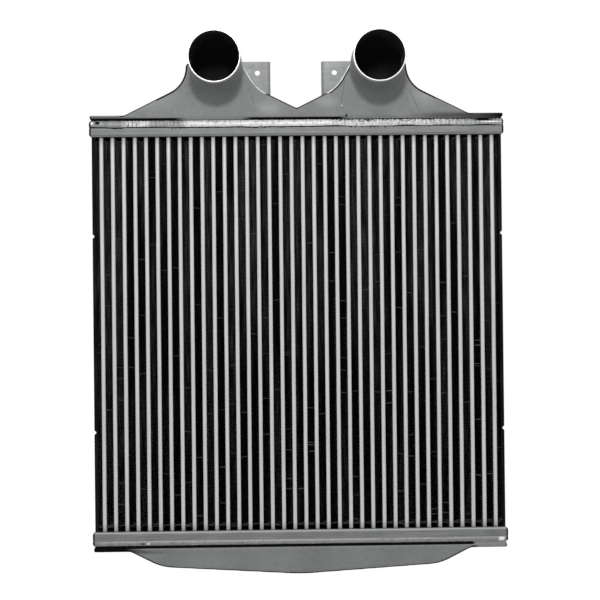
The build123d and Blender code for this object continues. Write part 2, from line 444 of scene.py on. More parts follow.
@dataclass(frozen=True)
class FinFoil(Finish):
    """Fin foil: near black, with grey streaks that run up and down, and painted shade at both ends."""

    def paint(self, board: NodeBoard) -> None:
        """Lay the near-black tone, its streaks and the painted shade at the ends on a board."""
        streaks = board.ramp(board.noise(420, 3, (1, 0.4, 0.04)), (0.45, self.dark), (0.78, self.light))
        chance = board.ramp(board.noise(46, 1, (1, 0, 0.04)), (0.46, 0.16), (0.60, 1))
        left = board.ramp(board.span(board.split("X"), (-0.39, 0.39)), (0.08, 1), (0.10, 0))
        foil = board.times(streaks, board.mix(1.0, chance, left, "LIGHTEN"))
        height = board.split("Z")
        # Painted shade: the foil goes almost black near both headers.
        inside = board.band(height, (-0.8435, -0.1280), 0.0015)
        foil = board.times(foil, board.ramp(inside, (0.0, 0.04), (1.0, 1)))
        edge = board.ramp(board.noise(75, 0, (1, 0, 0.04)), (0.40, 0.02), (0.60, 0.30))
        front = board.band(board.split("Y"), (-0.035, -0.024), 0.001)
        torn = board.fold("MULTIPLY", board.band(height, (-0.8440, -0.8408), 0.0006), front)
        board.send(base_color=board.mix(torn, foil, edge))


@dataclass(frozen=True)
class WeldMetal(Finish):
    """Weld metal: bright, dull where the bead ran cold, with a cracked and a bubbly stretch."""

    bright: Pair = (0.09, 0.90)
    cracked: Pair = (0.0, 0.0)
    bubbly: Pair = (0.0, 0.0)

    def paint(self, board: NodeBoard) -> None:
        """Lay the bright and the cold metal on a board."""
        x = board.split("X")
        bright = board.ramp(board.noise(150), (0.30, self.dark), (0.5, self.light))
        cold = board.ramp(board.noise(60), (0.3, (0.21, 0.217, 0.217)), (0.7, (0.30, 0.31, 0.31)))
        start, stop = self.bright
        stops = (start - 0.01, 0), (start + 0.01, 1), (stop - 0.12, 1), (stop + 0.06, 0.15)
        share = board.ramp(board.span(x, (-0.39, 0.39)), *stops)
        metal = board.mix(share, cold, bright)
        clouds = board.noise(150, 1, (1, 0.15, 0.15))
        cracks = board.ramp(clouds, (0.470, 1), (0.497, 0.02), (0.503, 0.02), (0.530, 1))
        metal = board.mix(board.band(x, self.cracked, 0.008), metal, board.times(metal, cracks))
        bubbles = {"Vector": board.place, "Scale": 95}
        joints = board.add("TexVoronoi", bubbles, "Distance", feature="DISTANCE_TO_EDGE")
        upper = board.band(board.split("Z"), (-0.0992, -0.080), 0.002)
        pitted = board.fold("MULTIPLY", board.band(x, self.bubbly, 0.02), upper)
        metal = board.mix(pitted, metal, board.times(metal, board.ramp(joints, (0.02, 0.02), (0.08, 1))))
        board.send(base_color=board.cover(metal, self.patches))
        board.bump(board.noise(380, 2), 0.0002)


@dataclass(frozen=True)
class DarkSheet(Finish):
    """A near-black sheet, greyer in places."""

    def paint(self, board: NodeBoard) -> None:
        """Lay the near-black tone and its greyer places on a board."""
        greyer = board.ramp(board.noise(70, 5, (1, 1, 0.15)), (0.5, self.dark), (0.78, self.light))
        board.send(base_color=greyer)
        board.bump(board.noise(600, 2), 0.00006)


BLACK, DUSK, GREY, WHITE = grey(0.004), grey(0.02), grey(0.06), grey(0.70)
FRONT, FAR_FRONT = (-2.0, -0.0345), (-2.0, -0.036)
# Painted shade: the end faces of the header pans, weld beads and tank rims are black.
SHADED_ENDS = Patch(BLACK, across=(0.3815, 2.0), deep=(-2.0, -0.034), both_sides=True)
TOP_PATCHES = (
    # Painted light: soft lighter areas on the flanks and between the necks.
    Patch((0.36, 0.375, 0.37), (-0.078, -0.020), (0.2050, 0.275), fade=0.030, soft=0.035, mottle=1.1),
    Patch((0.35, 0.365, 0.36), (-0.078, -0.030), (-0.330, -0.215), fade=0.030, soft=0.045, mottle=1.1),
    Patch((0.34, 0.355, 0.35), (-0.075, -0.045), (0.030, 0.085), fade=0.015, soft=0.022, mottle=1.1),
    Patch((0.33, 0.345, 0.34), (-0.088, -0.055), (-0.080, -0.020), fade=0.015, soft=0.022, mottle=1.1),
    # Painted shade: thin dark lines along the creases beside the necks.
    Patch(GREY, (-0.0622, -0.020), (0.0823, 0.0838), lean=0.155),
    Patch(GREY, (-0.0780, -0.036), (-0.0757, -0.0745), lean=-0.31),
    Patch(GREY, (-0.0780, -0.0388), (0.2270, 0.2286), lean=-0.46),
    # A small white dot by the right neck's crease, and a small black spot on the rim beside it.
    Patch(WHITE, (-0.0690, -0.0664), (0.0832, 0.0858)),
    Patch(BLACK, (-0.0890, -0.0835), (0.0900, 0.0950), fade=0.0015, soft=0.0015),
    # Painted shade in the recess between the rim and the weld bead, darker and wider towards the ends, with a
    # thin black line all along.
    Patch(DUSK, (-0.0950, -0.0790), (0.205, 2.0), FAR_FRONT, 0.010, 0.07),
    Patch(BLACK, (-0.0950, -0.0815), (0.290, 2.0), FAR_FRONT, 0.004, 0.09),
    Patch(DUSK, (-0.0895, -0.0850), (-2.0, -0.290), FAR_FRONT, 0.003, 0.05),
    Patch(BLACK, (-0.0950, -0.0882), (-2.0, -0.205), soft=0.02),
    Patch(BLACK, (-0.0950, -0.0880), (-0.105, 0.100), soft=0.02),
    Patch(BLACK, (-0.0950, -0.0917), deep=ALL_ROUND),
    # Painted shade: dark lines along the flanks' front outline, wider on the outer flanks, and one just
    # inside the right inner flank's outline. Painted highlight: a light line along the outline of both inner
    # flanks.
    Patch(BLACK, (-0.086, 0.018), rim=(-1.0, 0.0028)),
    Patch(BLACK, (-0.072, 0.018), (0.150, 0.260), rim=(-1.0, 0.0040), both_sides=True),
    Patch(BLACK, (-0.045, 0.018), (0.0, 0.1135), rim=(0.002, 0.0052)),
    Patch(WHITE, (-0.045, 0.012), (0.043, 0.1135), rim=(-1.0, 0.0026), both_sides=True),
    SHADED_ENDS,
)
LOW_PATCHES = (
    # Painted shade: a darker fade on the belly's left end, black in the recess between bead and rim, a black
    # left end of the rim, and a dark line along the belly's front outline.
    Patch(DUSK, (-0.8980, -0.8865), (-2.0, -0.230), fade=0.008, soft=0.06),
    Patch(BLACK, (-0.8865, -0.8805), (-2.0, 0.325), ALL_ROUND, soft=0.006),
    Patch(BLACK, (-0.8935, -0.8800), (-2.0, -0.285), FAR_FRONT, soft=0.04),
    Patch(BLACK, (-0.95, -0.888), rim=(-1.0, 0.0032)),
    SHADED_ENDS,
)
SHEET_PATCHES = (
    # Painted shade: the pan floors between the tubes are black.
    Patch(BLACK, across=(-0.375, 0.375), deep=(-0.0345, 0.0345)),
    # Two thin darker lines on the bottom pan's lip.
    Patch(GREY, (-0.8668, -0.8656), (-0.384, -0.345), soft=0.01),
    Patch(GREY, (-0.8700, -0.8688), (0.328, 0.376), soft=0.01),
    # Painted shade: a black line along the top pan's lower edge. Painted highlights: lighter lines along the
    # top pan's lower bend and the bottom pan's upper bend.
    Patch(BLACK, (-0.1242, -0.1226), deep=(-2.0, -0.030)),
    Patch(grey(0.33), (-0.1226, -0.1206), deep=FRONT, mottle=1.2),
    Patch(grey(0.42), (-0.8580, -0.8553), deep=FRONT, mottle=1.2),
    SHADED_ENDS,
)
BRACKET_PATCHES = (
    # Painted shade: a dark band along the brackets' inner bent edges. The right bracket is also dark from
    # about 20 mm above the holes' level upwards.
    Patch(GREY, across=(-2.0, 0.0502), both_sides=True),
    Patch(GREY, (0.0198, 2.0), (0.0, 2.0)),
)
TOP_BEAD_PATCHES = (
    Patch(grey(0.26), across=(-0.278, -0.203), soft=0.01, mottle=1.5),
    Patch(WHITE, (-0.1010, -0.0945), (-0.3845, -0.3765), fade=0.002, soft=0.002),
    Patch(BLACK, (-0.1010, -0.0935), (-0.3745, -0.3645), fade=0.002, soft=0.002),
    # Painted shade: the top of the bead's right end is black.
    Patch(BLACK, (-0.0985, -0.0920), (0.318, 0.376), fade=0.001, soft=0.02),
    Patch(WHITE, (-0.1015, -0.0985), (0.340, 0.384), fade=0.001, soft=0.01),
    SHADED_ENDS,
)
LOW_BEAD_PATCHES = (
    # Painted highlights on two rough spots of the bead, the first with a darker ring round it.
    Patch(WHITE, (-0.8795, -0.8745), (-0.2860, -0.2790), fade=0.002, soft=0.002),
    Patch(GREY, (-0.8800, -0.8740), (-0.2980, -0.2880), fade=0.002, soft=0.002),
    Patch(WHITE, (-0.8815, -0.8785), (-0.2060, -0.1880), fade=0.002, soft=0.005),
    Patch(GREY, (-0.8733, -0.8720), (-0.388, -0.345), soft=0.01),
    Patch(GREY, (-0.8733, -0.8720), (0.130, 0.190), soft=0.02),
    Patch(GREY, (-0.8733, -0.8720), (0.235, 0.285), soft=0.02),
    Patch(WHITE, (-0.8810, -0.8720), (0.366, 0.380), fade=0.002, soft=0.003),
    SHADED_ENDS,
)
CAST = (0.220, 0.233, 0.228), (0.290, 0.305, 0.299), 0.1, 0.62
ROLLED = (0.185, 0.195, 0.192), (0.250, 0.260, 0.257), 0.15, 0.5
SATIN = (0.30, 0.31, 0.31), (0.38, 0.39, 0.39), 0.1, 0.5
TOP_CAST = CastSkin("top_casting", *CAST, patches=TOP_PATCHES)
LOW_CAST = CastSkin("low_casting", *CAST, patches=LOW_PATCHES)
SHEET = RolledSheet("rolled_sheet", *ROLLED, patches=SHEET_PATCHES)
BRACKET = RolledSheet("satin_bracket", *SATIN, patches=BRACKET_PATCHES)
TUBE = TubeMetal("drawn_tube", grey(0.60), grey(0.76), 0.1, 0.42)
FOIL = FinFoil("near_black_foil", grey(0.010), (0.170, 0.171, 0.171), 0.0, 0.9, 0.08)
# Painted glint: a lighter foil on the bent fold fronts, which are really bent.
BENT_FOLD_GLINT = Finish("bent_fold_glint", grey(0.03), grey(0.12), 0.0, 0.6, 0.2)
STRETCHES = {"cracked": (-0.320, -0.212), "bubbly": (0.060, 0.350)}
# The top bead is painted much brighter than the bottom one: its bright colour is partly the weld's own and
# partly a painted highlight for the light it catches.
TOP_WELD = WeldMetal("bright_weld", grey(0.40), grey(0.74), 0.1, 0.4, patches=TOP_BEAD_PATCHES, **STRETCHES)
LOW_WELD = WeldMetal(
    "darker_weld", grey(0.22), grey(0.31), 0.1, 0.45, patches=LOW_BEAD_PATCHES, bright=(0.02, 0.98)
)
# Painted highlight along two rows of the bottom bead.
BEAD_HIGHLIGHT = Finish("painted_bead_highlight", grey(0.45), grey(0.85), 0.1, 0.4)
DARK_SHEET = DarkSheet("near_black_sheet", grey(0.003), grey(0.02), 0.0, 0.7, 0.08)
LIP = Finish("turned_lip", grey(0.62), grey(0.76), 0.4, 0.35)
# Painted shade: the airway inside the spigots is near black.
AIRWAY_SHADE = Finish("painted_airway_shade", grey(0.020), grey(0.050), 0.0, 0.75, 0.25)
# Painted shadow along the lowest rows of the top bead.
BEAD_SHADOW = Finish("painted_bead_shadow", grey(0.004), grey(0.010), 0.0, 0.9, 0.05)


def pick(geometry: Sequence, kind: type) -> list:
    """The vertices, the edges or the faces among what a bmesh operator gives back."""
    return [part for part in geometry if isinstance(part, kind)]


def once(parts: Iterable) -> list:
    """Each part once and in its own order, so that every run goes the same way."""
    return list(dict.fromkeys(parts))


def in_order(faces: Iterable[BMFace]) -> list[BMFace]:
    """Faces of a strip, the front ones first and each row from the bottom up."""
    spots = [(face.calc_center_median(), face) for face in faces]
    return [face for _, face in sorted(spots, key=lambda spot: (round(spot[0].y, 3), spot[0].z))]


class Workshop:
    """Turns finished bmeshes into dressed pieces that ride on the cooler."""

    @staticmethod
    def mesh_of(bm: bmesh.types.BMesh, name: str) -> bpy.types.Mesh:
        """Write a bmesh to a mesh and free it.

        Args:
            bm: The finished bmesh.
            name: The mesh's name.

        Returns:
            The mesh, smooth up to its creases.
        """
        mesh = bpy.data.meshes.new(name)
        bm.to_mesh(mesh)
        bm.free()
        mesh.polygons.foreach_set("use_smooth", [True] * len(mesh.polygons))
        mesh.set_sharp_from_angle(angle=math.radians(35))
        return mesh

    @staticmethod
    def publish(
        look: str, node: str, mesh: bpy.types.Mesh, finishes: Sequence[Finish], slot: str
    ) -> bpy.types.Object:
        """Put a mesh into the scene as a piece of the cooler.

        Args:
            look: The first word of the piece's name, before the node's.
            node: The CAD node that it is shown for.
            mesh: Its mesh, in place.
            finishes: Its finishes, in the order of the mesh's material numbers.
            slot: Not used.

        Returns:
            The piece.
        """
        for finish in finishes:
            mesh.materials.append(finish.material())
        piece = bpy.data.objects.new(f"{look}_{node}", mesh)
        bpy.context.scene.collection.objects.link(piece)
        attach(piece, "root")
        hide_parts(node)
        LOG.info("%s: %d faces", piece.name, len(mesh.polygons))
        return piece

    @staticmethod
    def dress(node: str, finish: Finish) -> None:
        """Give a CAD node its finish.

        Args:
            node: The node's name.
            finish: The finish.
        """
        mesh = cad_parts[node].data
        mesh.materials.clear()
        mesh.materials.append(finish.material())
        LOG.info("%s: dressed", node)

    @staticmethod
    def extrude_loop(bm: bmesh.types.BMesh, loop: list, move: Vector) -> list:
        """Draw an open loop of edges out by one step.

        Args:
            bm: The bmesh.
            loop: The loop's edges.
            move: How far the new loop goes.

        Returns:
            The new loop's edges.
        """
        grown = bmesh.ops.extrude_edge_only(bm, edges=loop)["geom"]
        verts = pick(grown, BMVert)
        bmesh.ops.translate(bm, verts=verts, vec=move)
        return [edge for edge in pick(grown, BMEdge) if all(v in verts for v in edge.verts)]


@dataclass
class TubeRow:
    """The upright flat tubes, each a thin wall with rounded noses and slight dents."""

    layout: Layout
    wall: float = 0.0008
    bulge: float = 0.0018
    stand_through: float = 0.003
    segments: int = 28
    rings: int = 14
    waviness: float = 0.00022

    def section(self, bm: bmesh.types.BMesh) -> list:
        """Draw the tube's outline, at the tube's lower end.

        Args:
            bm: The bmesh to draw in.

        Returns:
            The outline's edges.
        """
        half = self.layout.tube_thickness / 2
        flat = self.layout.tube_depth / 2 - self.bulge
        turn = Matrix.Rotation(math.pi / self.segments, 3, "Z")
        ring = bmesh.ops.create_circle(bm, segments=self.segments, radius=half)["verts"]
        bmesh.ops.rotate(bm, verts=ring, cent=(0, 0, 0), matrix=turn)
        for vert in ring:
            vert.co.y = vert.co.y / half * self.bulge + math.copysign(flat, vert.co.y)
        return [edge for edge in bm.edges if all(v in ring for v in edge.verts)]

    def build(self) -> None:
        """Make the row."""
        length = self.layout.core_top - self.layout.core_bottom
        reach = self.layout.header_sheet + self.stand_through
        step = (length + 2 * reach) / self.rings
        for number, x in enumerate(self.layout.tube_xs(), start=1):
            bm = bmesh.new()
            loop = low = self.section(bm)
            bmesh.ops.translate(bm, verts=bm.verts, vec=(x, 0, self.layout.core_bottom - reach))
            for _ in range(self.rings):
                loop = Workshop.extrude_loop(bm, loop, Vector((0, 0, step)))
            self.dent(bm, x)
            caps = [bmesh.ops.contextual_create(bm, geom=edges)["faces"][0] for edges in (low, loop)]
            bmesh.ops.inset_region(bm, faces=caps, thickness=self.wall, use_even_offset=True)
            mouths = [list(cap.edges) for cap in caps]
            bmesh.ops.delete(bm, geom=caps, context="FACES_ONLY")
            bmesh.ops.bridge_loops(bm, edges=mouths[0] + mouths[1])
            bmesh.ops.recalc_face_normals(bm, faces=bm.faces)
            node = f"tube_{number:02d}"
            Workshop.publish("flat", node, Workshop.mesh_of(bm, node), [TUBE], "tube")

    def dent(self, bm: bmesh.types.BMesh, x: float) -> None:
        """Bend the tube's walls by a hair, as handling does, clear of its two ends.

        Args:
            bm: The tube.
            x: The tube's place, which picks its own dents.
        """
        for vert in bm.verts:
            if self.layout.core_bottom < vert.co.z < self.layout.core_top:
                vert.co.x += self.waviness * noise.noise(Vector((x * 40, 0, vert.co.z * 9)))


@dataclass
class FinPack:
    """The folded fin strips, one piece for each node of them, with bent folds in front."""

    layout: Layout
    fold_pitch: float = 0.0046
    foil: float = 0.0002
    depth: float = 0.061
    end_gap: float = 0.0012
    chevron: float = 0.0048
    crest: float = 0.0009
    crest_rise: float = 0.00055
    bend_depth: float = 0.0026
    bend_drop: float = 0.0017
    bent_share: float = 0.016
    torn_height: Pair = (0.0096, 0.0142)
    torn_share: float = 0.75
    strips_a_bank: int = 5
    side_strip_width: float = 0.008
    chance: random.Random = field(default_factory=lambda: random.Random(4))

    def build(self) -> None:
        """Make every strip."""
        width = self.layout.tube_pitch - self.layout.tube_thickness
        gaps = [x + self.layout.tube_pitch / 2 for x in self.layout.tube_xs()[:-1]]
        for bank in range(len(gaps) // self.strips_a_bank):
            places = gaps[bank * self.strips_a_bank : (bank + 1) * self.strips_a_bank]
            self.bank(f"fin_bank_{bank + 1}", places, width)
        edge = self.layout.tube_xs()[-1] + (self.layout.tube_thickness + self.side_strip_width) / 2
        self.bank("left_end_fin", [-edge], self.side_strip_width)
        self.bank("right_end_fin", [edge], self.side_strip_width)

    def bank(self, node: str, places: Sequence[float], width: float) -> None:
        """Make the strips that share one node.

        Args:
            node: The node that they stand for.
            places: The strips' places across the core.
            width: How wide a strip is.
        """
        bm = bmesh.new()
        for x in places:
            self.strip(bm, x, width - self.foil)
        piece = Workshop.publish("folded", node, Workshop.mesh_of(bm, node), [FOIL, BENT_FOLD_GLINT], "fin")
        thick = piece.modifiers.new("foil", "SOLIDIFY")
        thick.thickness = self.foil
        thick.offset = 0.0

    def strip(self, bm: bmesh.types.BMesh, x: float, width: float) -> None:
        """Fold one strip: the outline of one fold, drawn back and repeated upwards.

        Args:
            bm: The bmesh to fold it in.
            x: The strip's place across the core.
            width: The foil's reach from crest to crest.
        """
        base = self.layout.core_bottom + self.end_gap + self.chevron
        height = self.layout.core_top - self.layout.core_bottom - 2 * self.end_gap - self.chevron
        folds = int(height / self.fold_pitch)
        pitch = height / folds
        half, rise = width / 2, self.crest_rise
        outline = [
            (-half + self.crest, rise),
            (half - self.crest, pitch / 2 - rise),
            (half, pitch / 2),
            (half - self.crest, pitch / 2 + rise),
            (-half + self.crest, pitch - rise),
            (-half, pitch),
            (-half + self.crest, pitch + rise),
        ]
        own = bmesh.new()
        verts = [own.verts.new((x + across, -self.depth / 2, base + up)) for across, up in outline]
        edges = [own.edges.new(pair) for pair in zip(verts, verts[1:])]
        loop = Workshop.extrude_loop(own, edges, Vector((0, self.depth / 2, -self.chevron)))
        Workshop.extrude_loop(own, loop, Vector((0, self.depth / 2, self.chevron)))
        bmesh.ops.spin(
            own,
            geom=own.verts[:] + own.edges[:] + own.faces[:],
            cent=(0, 0, 0),
            axis=(0, 0, 1),
            dvec=(0, 0, pitch),
            angle=0.0,
            steps=folds - 2,
            use_duplicate=True,
        )
        bmesh.ops.remove_doubles(own, verts=own.verts, dist=1e-6)
        self.bend(own, width)
        mesh = bpy.data.meshes.new("strip")
        own.to_mesh(mesh)
        own.free()
        bm.from_mesh(mesh)
        bpy.data.meshes.remove(mesh)

    def bend(self, bm: bmesh.types.BMesh, width: float) -> None:
        """Bend the front of some folds down, where tools and stones have struck them.

        Args:
            bm: The strip.
            width: The foil's reach from crest to crest.
        """
        front = -self.depth / 2
        crease = front + self.bend_depth
        low, high = (self.layout.core_bottom + height for height in self.torn_height)
        struck = []
        for face in in_order(bm.faces):
            xs = [v.co.x for v in face.verts]
            if max(xs) - min(xs) > width / 2:
                torn = low < max(v.co.z for v in face.verts) < high
                if self.chance.random() < (self.torn_share if torn else self.bent_share):
                    struck.append(face)
        parts = once(g for face in struck for g in (face, *face.edges, *face.verts))
        cut = bmesh.ops.bisect_plane(bm, geom=parts, plane_co=(0, crease, 0), plane_no=(0, 1, 0))
        for face in in_order(once(pick(cut["geom"], BMFace))):
            if all(v.co.y < crease + 1e-6 for v in face.verts):
                # The bent front takes the lighter foil, a painted glint on a real bend.
                face.material_index = 1
                drop = -self.bend_drop * self.chance.uniform(0.4, 1.0)
                for vert in face.verts:
                    if vert.co.y < front + 1e-6:
                        vert.co.z += drop


@dataclass
class WeldBeads:
    """The beads between header plate and tank, laid all the way round."""

    layout: Layout
    top_height: float = 0.014
    bottom_height: float = 0.010
    proud: float = 0.0015
    pace: float = 0.0011
    around: int = 14
    ripple: float = 0.0072
    corner: float = 0.004
    sag: float = 0.003
    root: float = 0.001
    arc: Pair = (-90, 205)
    # Rows of the top bead that take the painted shadow along its underside.
    shaded_rows: tuple[int, int] = (0, 3)
    # Rows of the bottom bead that take the painted highlight.
    bright_rows: tuple[int, int] = (10, 11)

    def style_at(self, x: float, end: End) -> WeldStyle:
        """How the bead was laid at a place along the front.

        Args:
            x: The place across the cooler.
            end: The end of the core.

        Returns:
            The style.
        """
        if end is End.BOTTOM:
            return WeldStyle.SMOOTH
        if x < -0.322:
            return WeldStyle.FLAT
        if x < -0.215:
            return WeldStyle.CRACKED
        return WeldStyle.SMOOTH if x < 0.065 else WeldStyle.RIPPLED

    def track(self, distance: float) -> tuple[Vector, Vector]:
        """A point of the track round the tank's foot, and the way out from it.

        Args:
            distance: How far along the track, from the front's left end.

        Returns:
            The point on the foot's face, and the unit vector that points outwards.
        """
        half_x = self.layout.header_length / 2 - self.layout.foot_gap
        half_y = self.layout.header_depth / 2 - self.layout.foot_gap
        ways = [Vector(way) for way in ((1, 0, 0), (0, 1, 0), (-1, 0, 0), (0, -1, 0))]
        starts = [Vector((x * half_x, y * half_y, 0)) for x, y in ((-1, -1), (1, -1), (1, 1), (-1, 1))]
        for start, way in zip(starts, ways):
            length = 2 * (half_x if way.x else half_y)
            if distance <= length:
                out = Vector((way.y, -way.x, 0))
                before, after = distance / self.corner, (length - distance) / self.corner
                lean = max(0.0, 1 - after) - max(0.0, 1 - before)
                return start + way * distance, (out + way * lean).normalized()
            distance -= length
        return starts[0], Vector((-1, -1, 0)).normalized()

    def build(self) -> None:
        """Make both beads."""
        round_trip = 2 * (self.layout.header_length + self.layout.header_depth - 4 * self.layout.foot_gap)
        steps = int(round_trip / self.pace)
        for end, finishes, rows in (
            (End.TOP, [TOP_WELD, BEAD_SHADOW], self.shaded_rows),
            (End.BOTTOM, [LOW_WELD, BEAD_HIGHLIGHT], self.bright_rows),
        ):
            bm = bmesh.new()
            grid = bmesh.ops.create_grid(bm, x_segments=steps, y_segments=self.around, size=0.5)["verts"]
            for face in bm.faces:
                row = int((face.calc_center_median().y + 0.5) * self.around)
                face.material_index = int(rows[0] <= row <= rows[1])
            for vert in grid:
                vert.co = self.surface((vert.co.x + 0.5) * round_trip, vert.co.y + 0.5, end)
            bmesh.ops.remove_doubles(bm, verts=bm.verts, dist=1e-5)
            bmesh.ops.recalc_face_normals(bm, faces=bm.faces)
            node = f"{end.name.lower()}_weld_bead"
            Workshop.publish("rippled", node, Workshop.mesh_of(bm, node), finishes, "weld")

    def surface(self, distance: float, turn: float, end: End) -> Vector:
        """A point of the bead's skin.

        Args:
            distance: How far along the track.
            turn: From 0 at the header's lip to 1 on the tank's foot.
            end: The end of the core.

        Returns:
            The point.
        """
        spot, out = self.track(distance)
        style = self.style_at(spot.x, end)
        beat = abs(math.cos(math.pi * distance / self.ripple + 1.5 * noise.noise(spot * 60)))
        lumps = 0.5 + noise.noise(spot * 110 + Vector((0, 0, turn * 2)))
        swell = 1 - style.value * (1 - beat**0.6) - 0.12 * lumps
        if style is WeldStyle.RIPPLED:
            swell -= 0.25 * max(0.0, noise.noise(spot * 230 + Vector((0, 0, turn * 3))))
        angle = math.radians(self.arc[0] + self.arc[1] * turn)
        reach = self.root + (self.layout.foot_gap + self.proud - self.root) * math.cos(angle) * swell
        height = self.top_height if end is End.TOP else self.bottom_height
        level = self.layout.header_lip + height * (0.46 + 0.54 * math.sin(angle) * (0.5 + 0.5 * swell))
        drip = self.sag * max(0.0, 0.8 + 1.5 * noise.noise(spot * 22)) if end is End.TOP else 0.0
        level -= drip * max(0.0, -math.sin(angle))
        point = spot + out * reach
        point.z = self.layout.above(end, level)
        return point


class Casting:
    """A cast body: plain solids that are run together and get soft, rounded joints."""

    overlap = 0.002

    def __init__(self, name: str, grid: float, passes: int) -> None:
        """Start a casting.

        Args:
            name: The casting's name.
            grid: Size of the net that the solids are drawn over with.
            passes: How often the skin is eased.
        """
        self.name, self.grid, self.passes = name, grid, passes
        self.bm = bmesh.new()

    def block(self, outline: Sequence[Pair], half_depth: float) -> list:
        """A front outline that is drawn back through the tank's depth.

        Args:
            outline: Corners as places on X and heights on Z.
            half_depth: Half of its depth.

        Returns:
            The block's vertices.
        """
        corners = [self.bm.verts.new((x, -half_depth, z)) for x, z in outline]
        face = self.bm.faces.new(corners)
        back = pick(bmesh.ops.extrude_face_region(self.bm, geom=[face])["geom"], BMVert)
        bmesh.ops.translate(self.bm, verts=back, vec=(0, 2 * half_depth, 0))
        return corners + back

    def footing(self, layout: Layout, end: End, rim: Pair, rim_inset: float) -> None:
        """The block in the header pan, and the rim on it.

        Args:
            layout: The shared sizes.
            end: The end of the core.
            rim: Where the rim starts and ends, counted from the core.
            rim_inset: How far the rim lies inside the pan's outside.
        """
        low, high = rim
        for inset, start, stop in (
            (layout.foot_gap, layout.header_sheet, low + self.overlap),
            (rim_inset, low, high),
        ):
            reach = layout.header_length / 2 - inset
            first, last = layout.above(end, start), layout.above(end, stop)
            box = [(-reach, first), (reach, first), (reach, last), (-reach, last)]
            self.block(box, layout.header_depth / 2 - inset)

    def soften(self) -> bpy.types.Mesh:
        """Run the solids together.

        Returns:
            The casting's skin.
        """
        bmesh.ops.recalc_face_normals(self.bm, faces=self.bm.faces)
        raw = bpy.data.meshes.new(self.name)
        self.bm.to_mesh(raw)
        self.bm.free()
        holder = bpy.data.objects.new(self.name, raw)
        bpy.context.scene.collection.objects.link(holder)
        net = holder.modifiers.new("net", "REMESH")
        net.mode = "VOXEL"
        net.voxel_size = self.grid
        ease = holder.modifiers.new("ease", "SMOOTH")
        ease.factor = 0.5
        ease.iterations = self.passes
        graph = bpy.context.evaluated_depsgraph_get()
        skin = bpy.data.meshes.new_from_object(holder.evaluated_get(graph))
        bpy.data.objects.remove(holder)
        bpy.data.meshes.remove(raw)
        return skin


def note_rim(mesh: bpy.types.Mesh, outline: Sequence[Pair], front: Pair) -> None:
    """Write down how far each point of a casting's front lies from the front's outline.

    Args:
        mesh: The casting's skin.
        outline: The outline's points, as places on X and Z.
        front: The front's span on Y; points out of it count as far away.
    """
    spots = [
        (ahead[0] * share + here[0] * (1 - share), 0.0, ahead[1] * share + here[1] * (1 - share))
        for here, ahead in zip(outline, outline[1:])
        for share in (index / 40 for index in range(40))
    ]
    tree = kdtree.KDTree(len(spots))
    for index, spot in enumerate(spots):
        tree.insert(spot, index)
    tree.balance()
    gaps = [
        tree.find((vert.co.x, 0.0, vert.co.z))[2] if front[0] < vert.co.y < front[1] else 1.0
        for vert in mesh.vertices
    ]
    mesh.attributes.new(RIM_GAP, "FLOAT", "POINT").data.foreach_set("value", gaps)


def rounded(corners: Sequence[Pair], radii: Sequence[float], steps: int = 8) -> list[Pair]:
    """Round the corners of an outline.

    Args:
        corners: The outline's corners, in order.
        radii: A radius for each corner, 0 to leave it sharp.
        steps: Points on each arc.

    Returns:
        The outline with its arcs as points.
    """
    made: list[Pair] = []
    for index, (corner, radius) in enumerate(zip(corners, radii)):
        if radius == 0:
            made.append(corner)
            continue
        here = Vector(corner)
        before = (Vector(corners[index - 1]) - here).normalized()
        after = (Vector(corners[(index + 1) % len(corners)]) - here).normalized()
        half = before.angle(after) / 2
        centre = here + (before + after).normalized() * (radius / math.sin(half))
        start = here + before * (radius / math.tan(half)) - centre
        stop = here + after * (radius / math.tan(half)) - centre
        for step in range(steps + 1):
            arm = start.lerp(stop, step / steps).normalized() * radius
            made.append(tuple(centre + arm))
    return made


